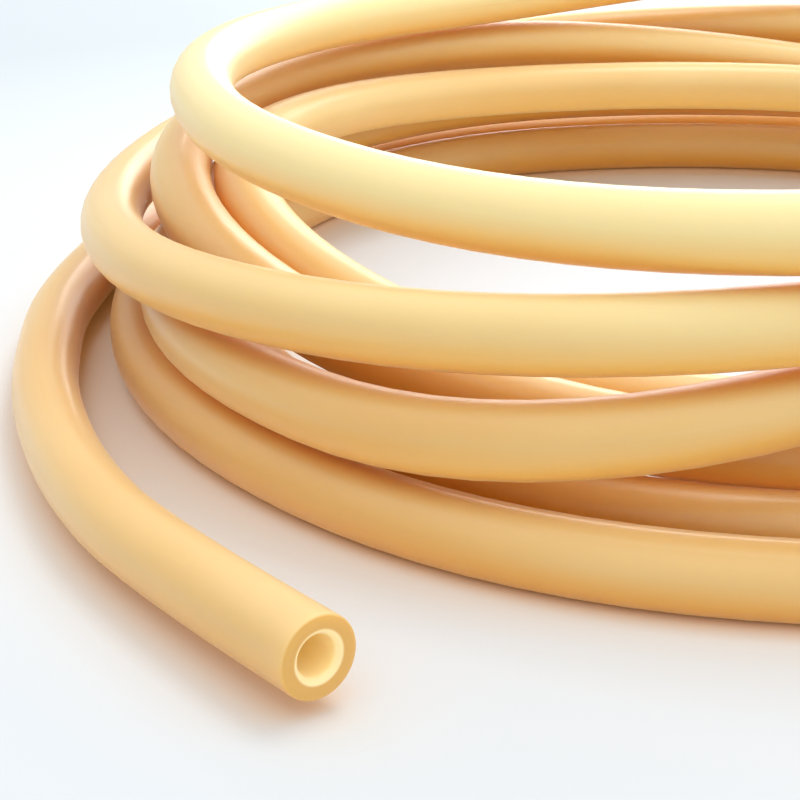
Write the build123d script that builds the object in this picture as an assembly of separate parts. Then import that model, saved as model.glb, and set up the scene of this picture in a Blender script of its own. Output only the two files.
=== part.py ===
"""Laboratory rubber tubing, put down as a loose coil: one plain length of thick-walled tube.

Millimetres, +Z up, the coil lying on the floor at Z = 0. The tube is followed from its free end at the
front left, round to the left, the back, the right and the front again, and so on up the coil.
"""

import math
import os

from build123d import *

# The tube
tube_outer = 10.0
tube_bore = 5.0
mouth_bevel = 0.5

# The coil: its mean radius, and where its middle lies, so that the whole part is centred on the origin
coil_radius = 110.0
coil_middle = (-4.75, -0.6)

# Every turn is read at six places round the coil. Each place has two values in tube widths: how far the
# tube's middle line runs outside the mean radius, and how high it runs above the floor. The first turn
# starts at its left side: its two places before that only give the free end's curve its direction.
place_angles = (-120, -60, 0, 60, 120, 180)
turns = [
    # front right, front left, left, back left, back right, right
    ((5.6, 1.0), (5.0, 0.8), (1.85, 0.5), (2.9, 0.5), (3.6, 0.5), (2.5, 0.5)),
    ((0.5, 0.5), (1.18, 0.5), (0.64, 0.5), (1.4, 0.5), (2.2, 0.5), (1.1, 0.5)),
    ((-0.7, 0.5), (0.0, 0.5), (-0.8, 0.5), (0.25, 0.5), (-0.35, 0.5), (-0.5, 0.93)),
    ((-1.6, 1.43), (-0.4, 1.5), (-0.1, 2.9), (-0.6, 3.15), (-1.0, 2.14), (-1.8, 1.48)),
    ((-2.31, 0.5), (-1.75, 1.4), (-1.15, 2.6), (-1.6, 2.3), (-2.15, 2.26), (-2.5, 2.62)),
    ((-3.91, 3.55), (1.1, 1.83), (-0.18, 1.5), (0.8, 1.63), (0.75, 1.55), (-0.3, 2.0)),
    ((-2.14, 3.8), (0.8, 3.13), (1.0, 2.12), (0.45, 3.02), (0.2, 3.65), (-0.6, 4.1)),
    ((-0.5, 4.92), (-0.05, 4.33), (-0.55, 4.36), (-1.0, 4.24), (0.6, 4.75), (2.4, 3.15)),
]

# The two ends leave the coil and lie on the floor: (angle, tube widths out, tube widths up)
free_end = [(-58, 4.9, 0.7), (-48, 4.15, 0.65), (-38, 3.45, 0.6), (-28, 2.8, 0.55), (-18, 2.3, 0.5)]
far_end = [(205, 3.7, 1.7), (222, 4.4, 0.7), (236, 4.7, 0.5), (250, 4.8, 0.5)]


def halfway(before, here, there, after):
    """Values midway between two places, on the smooth curve through them and their neighbours."""
    return tuple((9 * (h + t) - (b + a)) / 16 for b, h, t, a in zip(before, here, there, after))


def coil_readings():
    """(angle, out, up) every 30 degrees, from the first turn's left side to the last turn's right side."""
    places = [place for turn in turns for place in turn]
    spacing = place_angles[1] - place_angles[0]
    first = place_angles.index(0)
    readings = []
    for index in range(first, len(places)):
        angle = place_angles[0] + spacing * index
        readings.append((angle, *places[index]))
        if index < len(places) - 1:
            after = places[min(index + 2, len(places) - 1)]
            between = halfway(places[index - 1], places[index], places[index + 1], after)
            readings.append((angle + spacing / 2, *between))
    return readings


def on_coil(angle, out, up):
    """The point of the middle line that a reading stands for."""
    radius = coil_radius + out * tube_outer
    return Vector(
        coil_middle[0] - radius * math.cos(math.radians(angle)),
        coil_middle[1] + radius * math.sin(math.radians(angle)),
        up * tube_outer,
    )


def route_points():
    """The route's corners. Each stands outside the middle line by an eighth of its bend, since the tube
    cuts inside its corners, and none is lower than a tube that lies on the floor."""
    full_turns = 360 * (len(turns) - 1)
    far = [(full_turns + angle, out, up) for angle, out, up in far_end]
    line = [on_coil(*reading) for reading in free_end + coil_readings() + far]
    corners = [line[0]]
    for before, here, after in zip(line, line[1:], line[2:]):
        corner = here - (before - here * 2 + after) / 8
        corners.append(Vector(corner.X, corner.Y, max(corner.Z, tube_outer / 2)))
    return corners + [line[-1]]


def make_tubing(corners):
    """The whole tube as one solid: its ring-shaped section carried along the route, both mouths bevelled."""
    path = Polyline(*corners)
    cut_end = Plane(origin=corners[0], z_dir=corners[1] - corners[0])
    section = cut_end * (Circle(tube_outer / 2) - Circle(tube_bore / 2))
    tubing = sweep(section, path=path, transition=Transition.RIGHT)
    mouths = tubing.edges().filter_by(GeomType.CIRCLE).group_by(SortBy.RADIUS)[0]
    return chamfer(mouths, mouth_bevel)


corners = route_points()
tubing = make_tubing(corners)

length = sum((there - here).length for here, there in zip(corners, corners[1:]))
wall_area = math.pi * (tube_outer**2 - tube_bore**2) / 4
print("corners", len(corners), "length", round(length), "mm")
print("volume", round(tubing.volume), "mm3, section times length", round(wall_area * length))
print("box", tubing.bounding_box())

os.makedirs("parts", exist_ok=True)
export_step(tubing, "parts/tubing.step")
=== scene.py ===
# %% [markdown]
# # A coil of amber rubber tubing, dressed for the photograph
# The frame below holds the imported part: one node, "tubing", which is a plain mitred tube. Everything
# here is in metres, in the part's own frame: +Z up, the floor at Z = 0.

import math

import bmesh
import bpy
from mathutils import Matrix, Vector


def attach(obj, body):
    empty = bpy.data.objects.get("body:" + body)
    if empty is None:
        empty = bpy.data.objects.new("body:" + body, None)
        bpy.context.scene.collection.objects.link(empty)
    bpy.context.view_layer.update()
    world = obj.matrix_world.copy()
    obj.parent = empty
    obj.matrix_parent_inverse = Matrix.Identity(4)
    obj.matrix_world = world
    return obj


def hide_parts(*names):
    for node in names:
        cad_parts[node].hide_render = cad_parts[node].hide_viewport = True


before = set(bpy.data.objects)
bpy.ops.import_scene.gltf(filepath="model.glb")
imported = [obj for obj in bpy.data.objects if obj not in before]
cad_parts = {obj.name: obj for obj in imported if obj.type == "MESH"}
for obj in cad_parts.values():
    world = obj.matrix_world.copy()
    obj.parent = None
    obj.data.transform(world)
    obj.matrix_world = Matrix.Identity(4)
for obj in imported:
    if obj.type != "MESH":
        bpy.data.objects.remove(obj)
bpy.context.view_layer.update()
MM = 0.001

# %% [markdown]
# ## The route of the tube
# Soft tubing that is put down by hand lies in loose turns of slightly different size, which lean on and
# fan out from each other. The turns could be simulated, but the photograph shows exactly how these lie, so
# each turn is read at six places: how far it runs outside the mean radius, and how high above the floor.
# These are the CAD source's values, most of them moved by less than 2 mm and a few by up to 11 mm where
# the photograph asks for it: the CAD tube's straight runs need more room than the smooth tube does.

# %% The route's values
TUBE = 10.0 * MM
BORE = 5.0 * MM
COIL_RADIUS = 110.0 * MM
COIL_MIDDLE = (-4.75 * MM, -0.6 * MM)
PLACE_ANGLES = (-120, -60, 0, 60, 120, 180)
TURNS = [
    # front right, front left, left, back left, back right, right
    ((5.6, 1.0), (5.0, 0.8), (1.84, 0.5), (2.91, 0.5), (3.61, 0.5), (2.5, 0.5)),
    ((0.54, 0.5), (1.22, 0.5), (0.62, 0.5), (1.53, 0.5), (2.2, 0.5), (1.13, 0.5)),
    ((-0.76, 0.5), (-0.3, 0.5), (-0.83, 0.5), (0.42, 0.5), (-0.36, 0.5), (-0.54, 0.98)),
    ((-1.82, 1.1), (-0.77, 1.44), (-0.06, 2.83), (-0.58, 3.18), (-1.0, 2.11), (-1.79, 1.4)),
    ((-2.87, 1.4), (-1.8, 1.45), (-1.11, 2.68), (-1.59, 2.37), (-2.15, 2.26), (-2.52, 2.64)),
    ((-3.9, 3.42), (1.15, 1.74), (-0.2, 1.52), (0.81, 1.61), (0.75, 1.55), (-0.31, 2.02)),
    ((-2.12, 3.62), (0.82, 3.04), (1.0, 2.18), (0.43, 2.97), (0.2, 3.35), (-0.6, 3.95)),
    ((-0.5, 4.76), (-0.05, 4.25), (-0.57, 4.36), (-1.0, 4.23), (0.6, 4.75), (2.4, 3.15)),
]
# The two ends leave the coil and lie on the floor: (angle, tube widths out, tube widths up)
FREE_END = [(-60, 5.1, 0.7), (-48, 4.15, 0.65), (-38, 3.45, 0.6), (-28, 2.8, 0.55), (-18, 2.3, 0.5)]
FAR_END = [(205, 3.7, 1.7), (222, 4.4, 0.7), (236, 4.7, 0.5), (250, 4.8, 0.5)]
print("turns:", len(TURNS), "read at", len(PLACE_ANGLES), "places each")

# %% [markdown]
# Between the six places a turn is smooth, so one more reading is worked out midway between each two. The
# points that steer the curve stand a little outside it on every bend, because a smooth curve cuts inside
# the points that steer it.

# %% The points that steer the curve


def halfway(before, here, there, after):
    """Values midway between two places, on the smooth curve through them and their neighbours."""
    return tuple((9 * (h + t) - (b + a)) / 16 for b, h, t, a in zip(before, here, there, after))


def coil_readings():
    """(angle, out, up) every 30 degrees, from the first turn's left side to the last turn's right side."""
    places = [place for turn in TURNS for place in turn]
    spacing = PLACE_ANGLES[1] - PLACE_ANGLES[0]
    first = PLACE_ANGLES.index(0)
    readings = []
    for index in range(first, len(places)):
        angle = PLACE_ANGLES[0] + spacing * index
        readings.append((angle, *places[index]))
        if index < len(places) - 1:
            after = places[min(index + 2, len(places) - 1)]
            midway = halfway(places[index - 1], places[index], places[index + 1], after)
            readings.append((angle + spacing / 2, *midway))
    return readings


def on_coil(angle, out, up):
    """The point of the middle line that a reading stands for."""
    radius = COIL_RADIUS + out * TUBE
    x = COIL_MIDDLE[0] - radius * math.cos(math.radians(angle))
    y = COIL_MIDDLE[1] + radius * math.sin(math.radians(angle))
    return Vector((x, y, up * TUBE))


def steering_points():
    """The curve's control points, none lower than a tube that lies on the floor."""
    full_turns = 360 * (len(TURNS) - 1)
    far = [(full_turns + angle, out, up) for angle, out, up in FAR_END]
    line = [on_coil(*reading) for reading in FREE_END + coil_readings() + far]
    points = [line[0]]
    for before, here, after in zip(line, line[1:], line[2:]):
        point = here - (before - 2 * here + after) / 8
        point.z = max(point.z, TUBE / 2)
        points.append(point)
    return points + [line[-1]]


steering = steering_points()
print("steering points:", len(steering))

# %% [markdown]
# Blender's own curve gives the smooth line. It could carry a round bevel and be the tube by itself, but
# then the bore, the bevelled mouths and the patterns of the rubber would have nothing to hold on to. So
# only its points are read.

# %% The smooth middle line


def smooth_line(points, steps):
    """The smooth curve that the points steer, read as a list of points along it."""
    curve = bpy.data.curves.new("route", "CURVE")
    curve.dimensions = "3D"
    spline = curve.splines.new("NURBS")
    spline.points.add(len(points) - 1)
    for slot, point in zip(spline.points, points):
        slot.co = (*point, 1.0)
    spline.order_u = 3
    spline.use_endpoint_u = True
    spline.resolution_u = steps
    carrier = bpy.data.objects.new("route", curve)
    bpy.context.collection.objects.link(carrier)
    mesh = bpy.data.meshes.new_from_object(carrier)
    line = [vertex.co.copy() for vertex in mesh.vertices]
    bpy.data.objects.remove(carrier)
    bpy.data.meshes.remove(mesh)
    return line


line = smooth_line(steering, steps=9)
along = [0.0]
for here, there in zip(line, line[1:]):
    along.append(along[-1] + (there - here).length)
print("points on the line:", len(line), "length, m:", round(along[-1], 3))

# %% [markdown]
# ## The tube itself
# The real tube is extruded: a ring-shaped section of constant size, cut square at both ends. It is built
# here the same way, by carrying rings of points along the line without twisting them. The outer skin runs
# the whole length, then folds over each cut face into the bore. The photographed mouth has a soft bevel.

# %% Rings along the line
SIDES = 48


def cross_frames(points):
    """For each point, the two directions across the line, carried along it without any twist."""
    frames = []
    side = None
    for index, point in enumerate(points):
        before = points[max(index - 1, 0)]
        after = points[min(index + 1, len(points) - 1)]
        forward = (after - before).normalized()
        if side is None:
            side = forward.cross(Vector((0, 0, 1))).normalized()
        side = (side - forward * side.dot(forward)).normalized()
        frames.append((forward, side, forward.cross(side)))
    return frames


frames = cross_frames(line)
print("rings across the line:", len(frames))

# %% [markdown]
# Each end is a short profile turned round the tube's axis: the outer skin's rounded rim, the flat cut
# face, the bevel of the mouth, and the start of the bore. Radii and depths are in millimetres, and a depth
# is how far back from the cut face the ring lies. Every point also keeps its place on the straightened
# tube, so that the finish can follow the tube round its bends.

# %% Build the tube's mesh
END_PROFILE = [
    # (radius, depth)
    (5.0, 1.2), (5.0, 0.45), (4.97, 0.2), (4.9, 0.07), (4.78, 0.0), (4.3, 0.0), (3.7, 0.0), (3.32, 0.0),
    (3.16, 0.05), (3.0, 0.16), (2.75, 0.36), (2.6, 0.5), (2.52, 0.66), (2.5, 0.9), (2.5, 1.6),
]


def ring(bm, skin, index, radius, depth, inward):
    """A ring of points round the line; depth moves it back along the tube from a cut face."""
    forward, side, up = frames[index]
    centre = line[index] + forward * depth * inward
    points = []
    for step in range(SIDES):
        turn = 2 * math.pi * step / SIDES
        across = side * math.cos(turn) + up * math.sin(turn)
        point = bm.verts.new(centre + across * radius)
        place = along[index] + depth * inward
        point[skin] = Vector((radius * math.cos(turn), radius * math.sin(turn), place))
        points.append(point)
    return points


def skin_between(bm, first, second):
    """Faces between two rings of the same number of points."""
    count = len(first)
    for step in range(count):
        after = (step + 1) % count
        bm.faces.new((first[step], first[after], second[after], second[step]))


def build_tube():
    """The tube's mesh: outer skin, far cut face, bore and near cut face, as one closed chain of rings."""
    bm = bmesh.new()
    skin = bm.verts.layers.float_vector.new("skin")
    last = len(line) - 1
    start_rings = [ring(bm, skin, 0, r * MM, d * MM, 1) for r, d in END_PROFILE]
    end_rings = [ring(bm, skin, last, r * MM, d * MM, -1) for r, d in END_PROFILE]
    outer = [ring(bm, skin, i, TUBE / 2, 0, 1) for i in range(1, last)]
    inner = [ring(bm, skin, i, BORE / 2, 0, 1) for i in range(1, last)]
    walls = start_rings[::-1] + outer + end_rings + inner[::-1]
    for first, second in zip(walls, walls[1:] + walls[:1]):
        skin_between(bm, first, second)
    bmesh.ops.recalc_face_normals(bm, faces=bm.faces)
    mesh = bpy.data.meshes.new("tube")
    bm.to_mesh(mesh)
    bm.free()
    for face in mesh.polygons:
        face.use_smooth = True
    return mesh


tube = bpy.data.objects.new("rubber_tube", build_tube())
bpy.context.collection.objects.link(tube)
print("tube faces:", len(tube.data.polygons))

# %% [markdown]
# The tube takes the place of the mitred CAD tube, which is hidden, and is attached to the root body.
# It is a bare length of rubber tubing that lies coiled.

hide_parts("tubing")
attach(tube, "root")
print(tube.name, "stands for the packed tubing")

# %% [markdown]
# ## Helpers for finishes
# Every finish below is a small graph of nodes, built by a script so that it needs no picture files. A few
# short functions keep the graphs readable: they add a node with its values, join an output to an input,
# turn one range of values into another, and mix two colours.

# %% Node helpers


def add_node(tree, kind, **values):
    """A new node; a name with the word input in front sets that input, any other name is a property."""
    node = tree.nodes.new(kind)
    for name, value in values.items():
        if name.startswith("input_"):
            node.inputs[name[6:].replace("_", " ")].default_value = value
        else:
            setattr(node, name, value)
    return node


def join(tree, from_socket, to_socket):
    tree.links.new(from_socket, to_socket)


def between(tree, fac, low, high, to_low, to_high):
    """A value that follows fac from low..high to to_low..to_high, held outside them."""
    node = add_node(tree, "ShaderNodeMapRange")
    for name, value in (("From Min", low), ("From Max", high), ("To Min", to_low), ("To Max", to_high)):
        node.inputs[name].default_value = value
    join(tree, fac, node.inputs["Value"])
    return node.outputs["Result"]


def mix_colour(tree, fac, first, second):
    """One colour turning into another; each is a socket or a plain colour."""
    node = add_node(tree, "ShaderNodeMix", data_type="RGBA")
    join(tree, fac, node.inputs["Factor"])
    for socket, colour in ((node.inputs[6], first), (node.inputs[7], second)):
        if isinstance(colour, tuple):
            socket.default_value = (*colour, 1.0)
        else:
            join(tree, colour, socket)
    return node.outputs[2]


def new_material(name):
    """An empty procedural material with its shader and output in place."""
    material = bpy.data.materials.new(name)
    material.use_nodes = True
    tree = material.node_tree
    tree.nodes.clear()
    shader = add_node(tree, "ShaderNodeBsdfPrincipled")
    output = add_node(tree, "ShaderNodeOutputMaterial")
    join(tree, shader.outputs["BSDF"], output.inputs["Surface"])
    print("new material:", material.name)
    return material, tree, shader


# %% [markdown]
# ## The rubber
# Natural rubber latex is milky amber and lets light a few millimetres in, so thin edges and undersides
# glow orange. It could be a solid of absorbing and scattering volume, but subsurface scattering gives a
# like look in less time. The skin has soft cloudy changes of colour and faint lengthwise lines from the
# extruder. Both patterns are noise on the straightened tube, stretched along it for the lines.

# %% Patterns that follow the tube
rubber, rubber_tree, rubber_shader = new_material("amber_latex_rubber")
skin_place = add_node(rubber_tree, "ShaderNodeAttribute", attribute_name="skin")


def skin_noise(scale, detail):
    """Noise on the straightened tube; scale is (across, across, along) per metre."""
    stretch = add_node(rubber_tree, "ShaderNodeMapping", input_Scale=scale)
    noise = add_node(rubber_tree, "ShaderNodeTexNoise", input_Scale=1.0, input_Detail=detail)
    join(rubber_tree, skin_place.outputs["Vector"], stretch.inputs["Vector"])
    join(rubber_tree, stretch.outputs["Vector"], noise.inputs["Vector"])
    return noise.outputs["Fac"]


cloudy = skin_noise((60, 60, 14), detail=2)
streaks = skin_noise((900, 900, 9), detail=1)

# %% [markdown]
# The colour is amber, and paler in the clouds and lines. The upper turns are painted paler the higher they
# lie above the table, a painted light for the stronger light on top of the coil. Where the skin faces down
# the colour is painted a deeper orange, and deepest in the narrow gaps between turns: painted shade, for
# light that reaches these places only through the rubber. A volume would give both, but far more slowly.

# %% Colours of the skin
warm = (0.785, 0.49, 0.16)
pale = (0.82, 0.585, 0.25)
# painted light: the upper turns are painted paler, for the stronger light on top of the coil
painted_top_light = (0.99, 0.87, 0.43)
# painted shade: undersides are painted a deeper orange
painted_underside_shade = (0.93, 0.50, 0.06)
# painted shade: the narrow gaps between turns are painted darkest orange
painted_gap_shade = (0.66, 0.27, 0.01)

in_part = add_node(rubber_tree, "ShaderNodeTexCoord")
height = add_node(rubber_tree, "ShaderNodeSeparateXYZ")
join(rubber_tree, in_part.outputs["Object"], height.inputs["Vector"])
surface = add_node(rubber_tree, "ShaderNodeNewGeometry")
facing = add_node(rubber_tree, "ShaderNodeSeparateXYZ")
join(rubber_tree, surface.outputs["Normal"], facing.inputs["Vector"])

clouded = between(rubber_tree, cloudy, 0.35, 0.65, 0, 1)
lined = between(rubber_tree, streaks, 0.62, 0.85, 0, 0.35)
# painted light: the skin is painted paler the higher it lies above the table
painted_height_light = between(rubber_tree, height.outputs["Z"], 20 * MM, 50 * MM, 0, 0.92)
# painted shade where the skin faces down
underside_shade_mask = between(rubber_tree, facing.outputs["Z"], 0.25, -0.75, 0, 0.85)
# painted shade in the gaps between turns, from ambient occlusion
neighbours = add_node(rubber_tree, "ShaderNodeAmbientOcclusion", samples=3, input_Distance=16 * MM)
gap_shade_mask = between(rubber_tree, neighbours.outputs["AO"], 0.2, 0.72, 1, 0)

skin_colour = mix_colour(rubber_tree, clouded, warm, pale)
skin_colour = mix_colour(rubber_tree, painted_height_light, skin_colour, painted_top_light)
skin_colour = mix_colour(rubber_tree, lined, skin_colour, pale)
skin_colour = mix_colour(rubber_tree, underside_shade_mask, skin_colour, painted_underside_shade)
skin_colour = mix_colour(rubber_tree, gap_shade_mask, skin_colour, painted_gap_shade)
print("skin colours:", len((warm, pale, painted_top_light, painted_underside_shade, painted_gap_shade)))

# %% [markdown]
# The knife leaves the cut face clean, so it is darker than the skin. Round the mouth the colour is painted
# palest, a painted glow for the light that the thin rubber there lets through. Separate materials would
# need a seam between them. One material that knows how far a point lies from the tube's axis needs none.

# %% Colours of the cut face and the mouth
cut_face = (0.70, 0.40, 0.085)
# painted glow: the mouth's pale colour stands for light shining through the thin rubber
mouth = (0.99, 0.84, 0.46)

section = add_node(rubber_tree, "ShaderNodeVectorMath", operation="MULTIPLY")
section.inputs[1].default_value = (1, 1, 0)
join(rubber_tree, skin_place.outputs["Vector"], section.inputs[0])
axis_distance = add_node(rubber_tree, "ShaderNodeVectorMath", operation="LENGTH")
join(rubber_tree, section.outputs["Vector"], axis_distance.inputs[0])
from_axis = axis_distance.outputs["Value"]

on_face = between(rubber_tree, from_axis, 4.95 * MM, 4.7 * MM, 0, 1)
# painted glow round the mouth of the bore
mouth_glow_mask = between(rubber_tree, from_axis, 3.35 * MM, 3.1 * MM, 0, 1)
colour = mix_colour(rubber_tree, on_face, skin_colour, cut_face)
colour = mix_colour(rubber_tree, mouth_glow_mask, colour, mouth)
join(rubber_tree, colour, rubber_shader.inputs["Base Color"])
print("cut face out to 4.7 mm from the axis, mouth out to 3.1 mm")

# %% [markdown]
# Light shows through the thin wall round the bore, and a little through the undersides. A faint glow
# stands for it, too faint to light anything else, so it is kept out of the search for lamps. The surface
# is satin: a fairly rough gloss, and a little sheen that gives every turn its powdery edge.

# %% Glow and gloss
glow = add_node(rubber_tree, "ShaderNodeMath", operation="ADD")
join(rubber_tree, between(rubber_tree, from_axis, 2.9 * MM, 2.5 * MM, 0, 0.05), glow.inputs[0])
join(rubber_tree, between(rubber_tree, facing.outputs["Z"], 0.1, -0.6, 0, 0.05), glow.inputs[1])
join(rubber_tree, glow.outputs["Value"], rubber_shader.inputs["Emission Strength"])
rubber_shader.inputs["Emission Color"].default_value = (1.0, 0.60, 0.13, 1.0)
rubber.cycles.emission_sampling = "NONE"

gloss = between(rubber_tree, streaks, 0.3, 0.7, 0.28, 0.40)
join(rubber_tree, gloss, rubber_shader.inputs["Roughness"])
rubber_shader.subsurface_method = "BURLEY"
for name, value in (
    ("Subsurface Weight", 1.0),
    ("Subsurface Radius", (1.0, 0.72, 0.3)),
    ("Subsurface Scale", 3.0 * MM),
    ("Specular IOR Level", 0.55),
    ("IOR", 1.5),
    ("Sheen Weight", 0.32),
    ("Sheen Roughness", 0.55),
    ("Sheen Tint", (1.0, 0.93, 0.82, 1.0)),
):
    rubber_shader.inputs[name].default_value = value

tube.data.materials.append(rubber)
print("finish on", tube.name, "with", len(rubber_tree.nodes), "nodes")

# %% [markdown]
# ## The floor and the backdrop
# The photograph was taken on a white sheet. One large plane is enough: the camera looks down so steeply
# that the sheet fills the picture behind the coil. Its white is cool, and greyer away from the coil. Close
# to the tube it is painted warmer and paler in its shadows, a painted light for light through the rubber.

# %% Floor
SHEET_HALF_WIDTH = 4.0
white_near = (0.715, 0.76, 0.81)
white_far = (0.53, 0.60, 0.655)
# painted light: the floor next to the tube is painted warmer and paler in its shadows
painted_warm_light = (0.98, 0.88, 0.76)

sheet, sheet_tree, sheet_shader = new_material("white_sheet")
where = add_node(sheet_tree, "ShaderNodeTexCoord")
from_coil = add_node(sheet_tree, "ShaderNodeVectorMath", operation="LENGTH")
join(sheet_tree, where.outputs["Object"], from_coil.inputs[0])
away = between(sheet_tree, from_coil.outputs["Value"], 0.12, 0.32, 0, 1)
# painted light in the tube's shadows on the floor, from ambient occlusion
closeness = add_node(sheet_tree, "ShaderNodeAmbientOcclusion", samples=4, input_Distance=20 * MM)
painted_light_mask = between(sheet_tree, closeness.outputs["AO"], 0.25, 0.9, 1, 0)
white = mix_colour(sheet_tree, away, white_near, white_far)
white = mix_colour(sheet_tree, painted_light_mask, white, painted_warm_light)
join(sheet_tree, white, sheet_shader.inputs["Base Color"])
sheet_shader.inputs["Roughness"].default_value = 0.55
sheet_shader.inputs["Specular IOR Level"].default_value = 0.15

bm = bmesh.new()
bmesh.ops.create_grid(bm, x_segments=1, y_segments=1, size=SHEET_HALF_WIDTH)
floor_mesh = bpy.data.meshes.new("floor")
bm.to_mesh(floor_mesh)
bm.free()
floor = bpy.data.objects.new("floor", floor_mesh)
floor.data.materials.append(sheet)
bpy.context.collection.objects.link(floor)
print("floor, m across:", 2 * SHEET_HALF_WIDTH)

# %% [markdown]
# ## Light
# The shadows in the photograph are soft and short, and fall forward and to the left, so the main light is
# a soft panel high up, a little behind and to the right. A sun lamp would make hard shadows. A second,
# larger panel low behind the coil puts a pale band along the top of every turn.

# %% Lamps


def soft_panel(name, place, target, size, power, colour):
    """A square lamp at place that faces target."""
    lamp = bpy.data.lights.new(name, "AREA")
    lamp.size = size
    lamp.energy = power
    lamp.color = colour
    panel = bpy.data.objects.new(name, lamp)
    panel.location = place
    panel.rotation_euler = (Vector(place) - Vector(target)).to_track_quat("Z", "Y").to_euler()
    bpy.context.collection.objects.link(panel)
    print(name, power, "W,", size, "m square")


soft_panel("main_panel", (0.25, 0.35, 1.3), (0, 0, 0), 0.5, 3.9, (1.0, 0.985, 0.96))
soft_panel("back_panel", (0.35, 1.3, 0.45), (0, 0, 0.03), 1.0, 10.8, (1.0, 0.99, 0.97))

# %% [markdown]
# The bright room fills in from all round. It could be built as walls, but a colour that depends on the
# direction does the same: brighter overhead and on the right, and warmer near the horizon.

# %% Room light
world = bpy.data.worlds.new("room")
world.use_nodes = True
room_tree = world.node_tree
background = room_tree.nodes["Background"]
direction = add_node(room_tree, "ShaderNodeTexCoord")
parts = add_node(room_tree, "ShaderNodeSeparateXYZ")
join(room_tree, direction.outputs["Generated"], parts.inputs["Vector"])

room_colour = mix_colour(room_tree, parts.outputs["Z"], (1.0, 0.91, 0.8), (0.97, 0.985, 1.0))
join(room_tree, room_colour, background.inputs["Color"])
strength = add_node(room_tree, "ShaderNodeMath", operation="MULTIPLY")
join(room_tree, between(room_tree, parts.outputs["Z"], 0.1, 0.9, 0.73, 1.49), strength.inputs[0])
join(room_tree, between(room_tree, parts.outputs["X"], -1, 1, 0.75, 1.15), strength.inputs[1])
join(room_tree, strength.outputs["Value"], background.inputs["Strength"])
bpy.context.scene.world = world
print("room light:", world.name)

# %% [markdown]
# ## The camera
# A camera fitted to the turns in the photograph stands 103 mm above the floor, 72 mm left of the coil's
# middle and 317 mm in front of it, and looks 20.5 degrees down with a field of view of 24 degrees.

# %% Camera
CAMERA_TILT = 20.5
CAMERA_FROM_MIDDLE = (-72 * MM, -317 * MM)
CAMERA_HEIGHT = 102.5 * MM

camera_data = bpy.data.cameras.new("camera")
camera_data.sensor_width = 36.0
camera_data.lens = 85.05
camera_data.clip_start = 0.01
camera = bpy.data.objects.new("camera", camera_data)
camera.location = (
    COIL_MIDDLE[0] + CAMERA_FROM_MIDDLE[0],
    COIL_MIDDLE[1] + CAMERA_FROM_MIDDLE[1],
    CAMERA_HEIGHT,
)
camera.rotation_euler = (math.radians(90 - CAMERA_TILT), 0, 0)
bpy.context.collection.objects.link(camera)
bpy.context.scene.camera = camera
bpy.context.scene.view_settings.view_transform = "Standard"
print("field of view, degrees:", round(math.degrees(camera_data.angle), 1))
